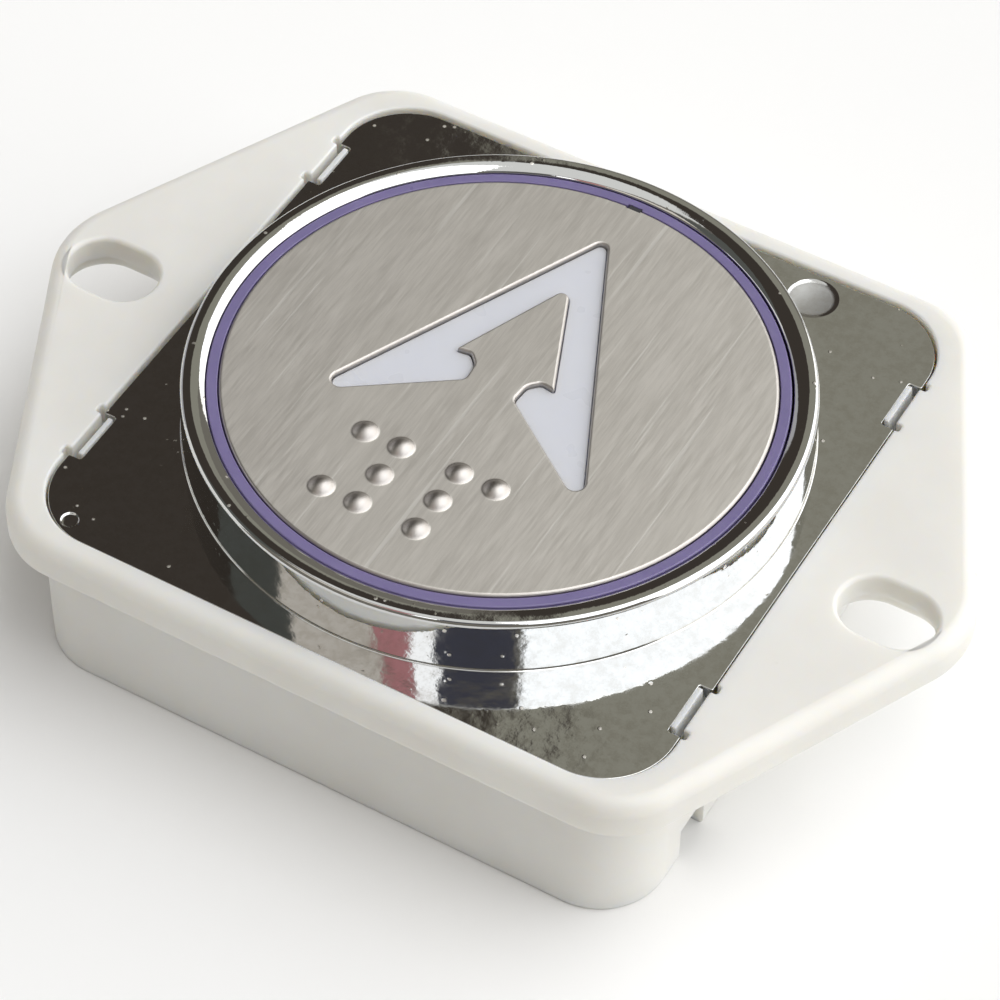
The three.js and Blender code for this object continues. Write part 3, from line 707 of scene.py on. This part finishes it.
def catch(shell, sign_x, sign_y):
    """A springy finger in a notch of the flange, with a narrow well beside it; returns their base rings."""
    finger_half, well_half, well_offset, well_depth = 1.58, (0.14, 1.4), 0.58, 2.5
    inner = FLANGE_HALF[0] - NOTCH_DEPTH + 0.03

    def finger(thick, shorter):
        centre = (sign_x * (inner + thick / 2), sign_y * CATCH_Y)
        return rectangle(thick / 2, finger_half - shorter, 0.07, 0.0, centre, 3)

    levels = [(0.4, 0.0, FLANGE_BOTTOM), (0.34, 0.0, FLANGE_TOP - 0.1), (0.31, 0.0, FLANGE_TOP + 0.1),
              (0.26, 0.04, FLANGE_TOP + 0.15)]
    rings = [shell.ring(finger(thick, shorter), z) for thick, shorter, z in levels]
    shell.skin(*rings)
    shell.fill(rings[-1])
    well_centre = (sign_x * (inner + well_offset), sign_y * CATCH_Y)
    mouth, floor_ring = shell.stack(
        lambda grow: rectangle(*well_half, 0.05, grow, well_centre, 3),
        [(0.0, FLANGE_BOTTOM), (0.0, FLANGE_BOTTOM - well_depth)])
    shell.fill(floor_ring)
    return rings[0], mouth


def pillars():
    """Solids that join the housing as the corner pillars for the cover's screws."""
    half, rounding, foot, top, outwards = 3.0, 2.5, 1.6, 9.8, 0.4
    made = []
    for sx, sy in MIRRORED:
        shell = Shell()
        centre = (sx * (PILLAR[0] + outwards), sy * (PILLAR[1] + outwards))
        low, high = shell.stack(
            lambda grow: rectangle(half, half, rounding, grow, centre),
            [(-0.2, foot), (0.0, foot + 0.2), (0.0, top)])
        shell.fill(low)
        shell.fill(high)
        made.append(shell.piece("pillar_tool"))
    return made


def board_ribs():
    """Solids that join the housing as the ribs over the edge of the circuit board."""
    into_wall = 0.4
    near_x, far_x = BOX_HALF[0] - WALL - RIB_DEPTH, BOX_HALF[0] - WALL + into_wall
    near_y, far_y = BOX_HALF[1] - WALL - RIB_DEPTH, BOX_HALF[1] - WALL + into_wall
    made = []
    for sx, sy in MIRRORED:
        for x, y in (((near_x, far_x), RIB), (RIB, (near_y, far_y))):
            xs, ys = sorted(sx * v for v in x), sorted(sy * v for v in y)
            made.append(block("rib_tool", (xs[0], ys[0], PCB_TOP), (xs[1], ys[1], PLATE_BOTTOM + 0.3)))
    return made


def wall_notches():
    """Cutters for the notches in the bottom edge of the left and right walls."""
    across_wall = (18.5, 21.5)
    made = []
    for sx, sy in MIRRORED:
        xs = sorted(sx * x for x in across_wall)
        ys = sorted(sy * y for y in WALL_NOTCH)
        made.append(block("notch_tool", (xs[0], ys[0], -1.0), (xs[1], ys[1], WALL_NOTCH_TOP)))
    return made


def screw_pilots():
    """Cutters for the screw holes in the pillars."""
    radius, low, high = 0.95, 1.0, 7.6
    return [column("pilot_tool", radius, low, high, (sx * PILLAR[0], sy * PILLAR[1])) for sx, sy in MIRRORED]


def bezel():
    """Square flange with a raised round ring, polished all over."""
    root, crown, lip, draft, foot = 0.12, 0.34, 0.05, 0.08, 0.08
    shell = Shell()
    skirt_low, flange_edge = shell.stack(
        flange_outline, [(-foot, FLANGE_BOTTOM), (0.0, FLANGE_BOTTOM + foot), *fillet(0.06, FLANGE_TOP, 3)])
    profile = []
    for k in range(4):
        angle = math.pi / 2 * k / 3
        profile.append((RING_R + draft + root * (1 - math.sin(angle)),
                        FLANGE_TOP + root * (1 - math.cos(angle))))
    profile += [(RING_R + grow, z) for grow, z in fillet(crown, RING_TOP, 6)]
    dish = math.asin((DISH_START_R - BORE_R - lip) / DISH_CURVE_R)
    for k in range(11):
        angle = dish * k / 10
        profile.append((DISH_START_R - DISH_CURVE_R * math.sin(angle),
                        RING_TOP - DISH_CURVE_R * (1 - math.cos(angle))))
    lip_z = profile[-1][1]
    profile += [(BORE_R + lip * 0.25, lip_z - lip), (BORE_R, lip_z - 2 * lip),
                (BORE_R, FLANGE_BOTTOM + foot), (BORE_R + foot, FLANGE_BOTTOM)]
    ring_foot, bore_foot = shell.turned(profile)
    dimple = bowl(shell, DIMPLE, DIMPLE_R, 0.03, 7)
    mark = bowl(shell, MARK, MARK_R, 0.015, 5)
    shell.fill(flange_edge, ring_foot, dimple, mark)
    shell.fill(skirt_low, bore_foot)
    obj = shell.piece("bezel_ring")
    return stand_for(finish_surface(obj, FINISHES["chrome"], 40), "bezel", "housing_body")


def bowl(shell, centre, radius, wall, slope):
    """A moulding mark in the flange: a soft lip, a low wall and a very shallow bowl; returns its rim."""
    lip, reach, steps = 0.05, 0.25 * radius, 8
    steep = math.radians(slope)
    floor_r = radius - reach
    curve = floor_r / math.sin(steep)
    floor_z = FLANGE_TOP - lip - wall
    profile = []
    for k in range(steps + 1):
        blend = 0.5 - 0.5 * math.cos(math.pi * k / steps)
        profile.append((radius - reach * k / steps, FLANGE_TOP + (floor_z - FLANGE_TOP) * blend))
    for k in range(steps - 1, 0, -1):
        angle = steep * k / steps
        profile.append((curve * math.sin(angle), floor_z - curve * (math.cos(angle) - math.cos(steep))))
    rim, middle = shell.turned(profile, 48, centre)
    shell.fill(middle)
    return rim


def back_cover():
    """The flat cover, with a window for the plug, four sunk screw holes and four posts for the board."""
    shell = Shell()
    gap, thick, post_top_z = 0.3, 1.2, 5.6
    half = (BOX_HALF[0] - WALL - gap, BOX_HALF[1] - WALL - gap)
    outer_low, outer_high = shell.stack(
        lambda grow: rectangle(*half, 2.8, grow), [*fillet(0.25, 0.0, 4, down=False)[::-1], (0.0, thick)])
    window_low, window_high = shell.stack(
        lambda grow: rectangle(6.2, 3.3, 0.4, grow, (0, CONNECTOR_Y)),
        [(0.2, 0.0), (0.0, 0.2), (0.0, thick)])
    lows, highs = [window_low], [window_high]
    for sx, sy in MIRRORED:
        centre = (sx * PILLAR[0], sy * PILLAR[1])
        sink_low, sink_high = shell.turned(
            [(2.0, 0.0), (1.9, 0.1), (1.9, 0.65), (1.05, 0.65), (1.05, thick)], 40, centre)
        lows.append(sink_low)
        highs.append(sink_high)
        post_foot, post_top = shell.turned(
            [(1.5, thick), (1.35, thick + 0.12), (1.3, thick + 0.3), (1.3, 5.5), (1.2, post_top_z)],
            24, (sx * 12.5, sy * 4.5))
        shell.fill(post_top)
        highs.append(post_foot)
    shell.fill(outer_low, *lows)
    shell.fill(outer_high, *highs)
    obj = shell.piece("back_cover_shell")
    return stand_for(finish_surface(obj, FINISHES["housing"]), "back_cover", "housing_body")


def cover_screw(index, centre):
    """A pan-head screw seen from below: domed head, cross recess and a threaded shank."""
    shell = Shell()
    profile = [(0.35, 0.05), (0.9, 0.07), (1.3, 0.13), (1.55, 0.24),
               (1.68, 0.4), (1.7, 0.52), (1.64, 0.62), (0.75, 0.63)]
    root, crest, pitch, thread_end = 0.62, 0.82, 0.5, 5.9
    z = 0.9
    while z < thread_end:
        profile += [(root, z), (root, z + 0.12), (crest, z + 0.25), (crest, z + 0.3)]
        z += pitch
    profile += [(0.6, 6.1), (0.3, 6.4)]
    head, tip = shell.turned(profile, 36, centre)
    shell.fill(head)
    shell.fill(tip)
    obj = shell.piece(f"cover_screw_{index}_body")
    combine(obj, "DIFFERENCE", [cross_arm(centre, turn) for turn in (0, 90)])
    stand_for(finish_surface(obj, FINISHES["screw"]), f"cover_screw_{index}", "housing_body")


def cross_arm(centre, turn):
    """A cutter for one arm of a screw's cross recess."""
    shell = Shell()
    low = rectangle(0.98, 0.2, 0.05, 0.0, (0, 0), 2)
    high = rectangle(0.6, 0.12, 0.04, 0.0, (0, 0), 2)
    spin = Matrix.Rotation(math.radians(turn), 2)
    rings = [shell.ring([spin @ p + Vector(centre) for p in points], z)
             for points, z in ((low, -0.2), (high, 0.5))]
    shell.skin(*rings)
    shell.fill(rings[0])
    shell.fill(rings[1])
    return shell.piece("cross_tool")


# ---- Moving button --------------------------------------------------------------------------

# The arrow's right half as (x, y, rounding), from its tip round the leg to the hollow behind the tip
ARROW_HALF = [(0.0, 13.15, 0.42), (9.12, -6.33, 0.55), (1.62, -0.96, 0.45), (1.72, 0.35, 0.75),
              (2.35, 1.0, 0.45), (3.25, 0.86, 0.08), (0.0, 8.6, 0.45)]
ARROW_X = -0.1
# Raised dots in two cells, each as (column, row) in its cell
DOT_CELLS = (((0, 0), (1, 0), (1, 1), (0, 2), (1, 2)), ((0, 0), (1, 0), (0, 1), (0, 2)))
FIRST_DOT = (-4.5, -7.4)
DOT_PITCH = 2.38
CELL_PITCH = 6.18


def arrow(grow=0.0):
    left = [(-x, y, rounding) for x, y, rounding in ARROW_HALF[-2:0:-1]]
    run = [*ARROW_HALF, *left][::-1]
    return outline([(x + ARROW_X, y) for x, y, _ in run], [rounding for _, _, rounding in run], grow, 6)


def keyed_circle(radius, reach):
    """A circle whose edge steps to the line y = reach where the carrier's key stands."""
    half = KEY_HALF + KEY_GAP + abs(PLAY[0])
    start = math.degrees(math.acos(half / radius))
    turn = 360 - (180 - 2 * start)
    points = [Vector(on_circle(radius, 180 - start + turn * k / CIRCLE)) for k in range(CIRCLE + 1)]
    corner = min(0.12, abs(radius - reach) * 0.4)
    side = -1 if reach < radius else 1
    return points + [Vector((half, reach - side * corner)), Vector((half - corner, reach)),
                     Vector((corner - half, reach)), Vector((-half, reach - side * corner))]


def steel_disc(grow=0.0):
    return keyed_circle(STEEL_R + grow, KEY_INNER - KEY_GAP)


def face_plate():
    """The steel disc with the arrow cut out, the pressed dots and the notch for the carrier's key."""
    shell = Shell()
    low, edge = shell.stack(
        steel_disc, [(-0.04, STEEL_BOTTOM), (0.0, STEEL_BOTTOM + 0.04), *fillet(0.22, STEEL_TOP, 5)])
    cut_top, cut_low = shell.stack(
        arrow, [*[(-g, z) for g, z in fillet(0.17, STEEL_TOP, 4)][::-1], (0.0, STEEL_BOTTOM)])
    dots = []
    for cell, places in enumerate(DOT_CELLS):
        for across, down in places:
            x = FIRST_DOT[0] + cell * CELL_PITCH + across * DOT_PITCH
            dots.append(dot(shell, (x, FIRST_DOT[1] - down * DOT_PITCH)))
    shell.fill(edge, cut_top, *dots)
    shell.fill(low, cut_low)
    obj = shell.piece("steel_face")
    return stand_for(finish_surface(obj, FINISHES["steel"], 40), "face_plate", "button_body")


def dot(shell, centre):
    """A pressed dot that rises softly from the face; returns its base ring."""
    reach, steepest, turn, rings = 0.88, 0.88, 0.75, 16
    levels = []
    for k in range(rings):
        share = 1 - k / rings
        if share > turn:
            rise = (1 - share) ** 2 / (1 - turn)
        else:
            rise = 1 - share ** 2 / turn
        levels.append((reach * share, STEEL_TOP + reach * steepest * rise / 2))
    foot, top = shell.turned(levels, 28, centre)
    shell.fill(top)
    return foot


def light_ring():
    """The violet ring round the steel, with a notch for the carrier's key and a ledge under the lens."""
    shell = Shell()
    inner = STEEL_R + 0.06
    key = KEY_OUTER + KEY_GAP
    levels = [(LIGHT_RING_R - 0.05, SEAT_Z), (LIGHT_RING_R, SEAT_Z + 0.05)]
    levels += [(LIGHT_RING_R + g, z) for g, z in fillet(0.1, LIGHT_RING_TOP, 3)]
    outside = [shell.ring(circle(radius), z) for radius, z in levels]
    levels = [(inner - g, z, key) for g, z in fillet(0.06, LIGHT_RING_TOP, 3)][::-1]
    levels += [(inner, LIGHT_RING_FOOT, key), (LIGHT_RING_BORE_R, LIGHT_RING_FOOT, KEY_INNER),
               (LIGHT_RING_BORE_R, SEAT_Z, KEY_INNER)]
    inside = [shell.ring(keyed_circle(radius, reach), z) for radius, z, reach in levels]
    shell.skin(*outside)
    shell.skin(*inside)
    shell.fill(outside[-1], inside[0])
    shell.fill(outside[0], inside[-1])
    obj = finish_surface(shell.piece("violet_ring"), FINISHES["violet_diffuser"])
    return stand_for(obj, "light_ring", "button_body")


def arrow_lens():
    """A disc under the steel with a raised arrow that fills the cut-out."""
    shell = Shell()
    bottom, seat, top = bottom_of("arrow_lens"), STEEL_BOTTOM, STEEL_TOP - 0.3
    base_low, base_high = shell.turned(
        [(KEY_INNER - 0.15, bottom), (KEY_INNER - 0.1, bottom + 0.05), (KEY_INNER - 0.1, seat)])
    boss_low, boss_high = shell.stack(
        arrow, [(-0.05, seat), (-0.05, top - 0.05), (-0.065, top - 0.015), (-0.1, top)])
    shell.fill(base_low)
    shell.fill(base_high, boss_low)
    shell.fill(boss_high)
    obj = shell.piece("arrow_window")
    return stand_for(finish_surface(obj, FINISHES["lens"]), "arrow_lens", "button_body")


# ---- Inside ---------------------------------------------------------------------------------


def connector():
    """An open shell round four square pins, mouth down."""
    mouth, seat, half_x, half_y, wall = 0.3, 5.6, 5.9, 3.0, 0.7
    centre = (0, CONNECTOR_Y)
    shell = Shell()
    outer_low, outer_high = shell.stack(
        lambda g: rectangle(half_x, half_y, 0.3, g, centre, 4),
        [(-0.1, mouth), (0.0, mouth + 0.1), (0.0, seat - 0.05), (-0.05, seat)])
    inner_low, inner_high = shell.stack(
        lambda g: rectangle(half_x - wall, half_y - wall, 0.2, g, centre, 4),
        [(0.15, mouth), (0.0, mouth + 0.3), (0.0, seat - 1.0)])
    shell.fill(outer_low, inner_low)
    shell.fill(outer_high)
    shell.fill(inner_high)
    obj = shell.piece("connector_housing")
    key_x, key_half, pin_pitch, hole = 2.6, 0.8, 2.0, 0.45
    key_cuts = [block("key_tool", (x - key_half, CONNECTOR_Y + half_y - 1.2, -1.0),
                      (x + key_half, CONNECTOR_Y + half_y + 1.0, 2.6)) for x in (-key_x, key_x)]
    pins = [(-1.5 + k) * pin_pitch for k in range(4)]
    pin_cuts = [block("pin_tool", (x - hole, CONNECTOR_Y - hole, 1.0), (x + hole, CONNECTOR_Y + hole, 7.0))
                for x in pins]
    combine(obj, "DIFFERENCE", [*key_cuts, *pin_cuts])
    stand_for(finish_surface(obj, FINISHES["connector"]), "connector_shell", "housing_body")
    for index, x in enumerate(pins, 1):
        pin = Shell()
        low, high = pin.stack(
            lambda g: rectangle(0.25, 0.25, 0.04, g, (x, CONNECTOR_Y), 2),
            [(-0.12, 1.6), (0.0, 1.9), (0.0, 7.2), (-0.12, 7.5)])
        pin.fill(low)
        pin.fill(high)
        stand_for(finish_surface(pin.piece(f"contact_pin_{index}"), FINISHES["pin"]),
                  f"connector_pin_{index}", "housing_body")


def return_spring(index, degrees):
    """A coil with closed ends, built at one fixed length; wire is the wire's radius."""
    coil_r, wire, turns, closed = 1.5, 0.2, 4.5, 0.75
    low, high = PCB_TOP + wire, CARRIER_BOTTOM - wire
    centre = on_circle(SPRING_CIRCLE_R, degrees)
    steps, sides = 150, 10
    shell = Shell()
    rings = []
    for k in range(steps + 1):
        turn = turns * k / steps
        rise = (high - low - 2 * wire * closed) * min(max((turn - closed) / (turns - 2 * closed), 0), 1)
        dead = wire * closed * (min(turn, closed) + max(turn - turns + closed, 0)) / closed
        angle = 2 * math.pi * turn
        spoke = Vector((math.cos(angle), math.sin(angle), 0))
        middle = Vector((*centre, low + rise + dead)) + spoke * coil_r
        ring = []
        for j in range(sides):
            a = 2 * math.pi * j / sides
            point = middle + spoke * wire * math.cos(a) + Vector((0, 0, wire * math.sin(a)))
            ring.append(shell.bm.verts.new(point))
        rings.append(ring)
    shell.skin(*rings)
    shell.bm.faces.new(rings[0])
    shell.bm.faces.new(rings[-1])
    obj = finish_surface(shell.piece(f"coil_{index}"), FINISHES["spring_wire"])
    stand_for(obj, f"return_spring_{index}", "housing_body")
    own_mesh(obj)


def dress_inner_nodes():
    """CAD nodes that keep their own mesh get the finish of their slot."""
    slots = {row["node"]: row["material_slot"] for row in frame["record"]["subparts"]}
    kept = ["carrier", "light_baffle", "switch_body", "switch_cover", "switch_stem", "pcb"]
    kept += [f"led_{k}" for k in range(1, 9)] + [f"resistor_{k}" for k in range(1, 5)]
    for node in kept:
        obj = frame["nodes"][node]
        obj.data.materials.clear()
        obj.data.materials.append(FINISHES[slots[node]])


# ---- Stage ----------------------------------------------------------------------------------


def floor():
    mesh = bpy.data.meshes.new("floor")
    half = 3.0
    corners = [(-half, -half, 0), (half, -half, 0), (half, half, 0), (-half, half, 0)]
    mesh.from_pydata(corners, [], [(0, 1, 2, 3)])
    obj = bpy.data.objects.new("floor", mesh)
    bpy.context.scene.collection.objects.link(obj)
    f = Finish("pale_floor", Roughness=0.9)
    f.set("Base Color", f.mix(f.noise(14, 2), (0.90, 0.90, 0.895), (0.87, 0.87, 0.865)))
    mesh.materials.append(f.material)


# Studio light around the object. Each patch is (from azimuth, to azimuth, from elevation, to elevation,
# colour) in degrees, later ones over earlier ones: a soft light overhead, a broad bright wall on the +X
# side, dark surroundings behind and towards -X with light low down, and narrow light and dark things on
# the -Y side, which the ring mirrors.
SKY = (0.22, 0.205, 0.175)
PATCHES = [
    (-180, 180, 62, 91, (0.92, 0.92, 0.90)),
    (-50, 100, 58, 91, (2.8, 2.8, 2.78)),
    (-50, 84, 44, 60, (2.55, 2.6, 2.7)),
    (-10, 84, 30, 46, (2.55, 2.6, 2.7)),
    (-10, 84, 4, 34, (2.3, 2.25, 2.15)),
    (84, 119, 34, 61, (0.335, 0.325, 0.27)),
    (119, 180, 22, 66, (0.06, 0.05, 0.042)),
    (119, 150, -5, 24, (0.06, 0.05, 0.042)),
    (150, 180, -5, 24, (0.50, 0.49, 0.51)),
    (-180, -144, -5, 28, (1.0, 0.99, 0.96)),
    (-180, -144, 26, 60, (0.12, 0.125, 0.115)),
    (-144, -104, 45, 57, (0.95, 0.88, 0.80)),
    (-104, -91, 45, 56, (0.75, 0.34, 0.36)),
    (-91, -82, 44, 57, (2.2, 2.2, 2.25)),
    (-82, -53, 44, 56, (0.095, 0.097, 0.13)),
]
# Degrees over which a patch fades in at its edges
EDGE = 2.5


def studio_light():
    world = bpy.data.worlds.new("studio")
    bpy.context.scene.world = world
    world.use_nodes = True
    nodes, links = world.node_tree.nodes, world.node_tree.links
    nodes.clear()
    direction = nodes.new("ShaderNodeTexCoord").outputs["Generated"]
    axes = nodes.new("ShaderNodeSeparateXYZ")
    links.new(direction, axes.inputs["Vector"])

    def maths(operation, a, b=0.0):
        node = nodes.new("ShaderNodeMath")
        node.operation = operation
        for socket, value in zip(node.inputs, (a, b)):
            if isinstance(value, (int, float)):
                socket.default_value = value
            else:
                links.new(value, socket)
        return node.outputs["Value"]

    def step(value, at, rising=True):
        node = nodes.new("ShaderNodeMapRange")
        node.interpolation_type = "SMOOTHSTEP"
        node.inputs["From Min"].default_value = at - EDGE / 2
        node.inputs["From Max"].default_value = at + EDGE / 2
        node.inputs["To Min"].default_value = 0.0 if rising else 1.0
        node.inputs["To Max"].default_value = 1.0 if rising else 0.0
        links.new(value, node.inputs["Value"])
        return node.outputs["Result"]

    azimuth = maths("DEGREES", maths("ARCTAN2", axes.outputs["Y"], axes.outputs["X"]))
    elevation = maths("DEGREES", maths("ARCSINE", axes.outputs["Z"]))
    colour = None
    for from_az, to_az, from_el, to_el, tone in PATCHES:
        window = step(elevation, from_el)
        if to_el < 90:
            window = maths("MULTIPLY", window, step(elevation, to_el, False))
        if from_az > -180:
            window = maths("MULTIPLY", window, step(azimuth, from_az))
        if to_az < 180:
            window = maths("MULTIPLY", window, step(azimuth, to_az, False))
        mix = nodes.new("ShaderNodeMix")
        mix.data_type = "RGBA"
        links.new(window, mix.inputs["Factor"])
        if colour is None:
            mix.inputs["A"].default_value = (*SKY, 1)
        else:
            links.new(colour, mix.inputs["A"])
        mix.inputs["B"].default_value = (*tone, 1)
        colour = mix.outputs["Result"]
    background = nodes.new("ShaderNodeBackground")
    links.new(colour, background.inputs["Color"])
    output = nodes.new("ShaderNodeOutputWorld")
    links.new(background.outputs["Background"], output.inputs["Surface"])


# The camera stands to the right of the front, looks down, and is rolled very slightly. Angles are in
# degrees, and the distance, steps and lens in millimetres.
CAMERA_AZIMUTH = 29.190
CAMERA_ELEVATION = 49.311
CAMERA_ROLL = 1.174
CAMERA_DISTANCE = 226.718
CAMERA_SIDE_STEP = -0.042
CAMERA_UP_STEP = 4.795
CAMERA_LENS = 140.336


def camera():
    azimuth, elevation = math.radians(CAMERA_AZIMUTH), math.radians(CAMERA_ELEVATION)
    level = Vector((math.sin(azimuth), -math.cos(azimuth), 0))
    back = level * math.cos(elevation) + Vector((0, 0, math.sin(elevation)))
    right = (-back).cross(Vector((0, 0, 1))).normalized()
    up = right.cross(-back)
    roll = math.radians(CAMERA_ROLL)
    side = right * math.cos(roll) + up * math.sin(roll)
    top = up * math.cos(roll) - right * math.sin(roll)
    place = back * CAMERA_DISTANCE - side * CAMERA_SIDE_STEP - top * CAMERA_UP_STEP
    place += Vector((0, 0, PLATE_TOP))
    data = bpy.data.cameras.new("camera")
    data.lens = CAMERA_LENS
    data.sensor_width = 36
    data.clip_start = 0.01
    data.clip_end = 20
    obj = bpy.data.objects.new("camera", data)
    bpy.context.scene.collection.objects.link(obj)
    turn = Matrix((side, top, back)).transposed().to_4x4()
    obj.matrix_world = Matrix.Translation(place * MM) @ turn
    bpy.context.scene.camera = obj


def colour_management():
    view = bpy.context.scene.view_settings
    view.view_transform = "Standard"
    view.look = "None"
    view.exposure = 0.0


housing()
bezel()
back_cover()
for number, (sign_x, sign_y) in enumerate(MIRRORED, 1):
    cover_screw(number, (sign_x * PILLAR[0], sign_y * PILLAR[1]))
face_plate()
light_ring()
arrow_lens()
connector()
for number, degrees in enumerate(QUARTERS, 1):
    return_spring(number, degrees)
dress_inner_nodes()
floor()
studio_light()
camera()
colour_management()
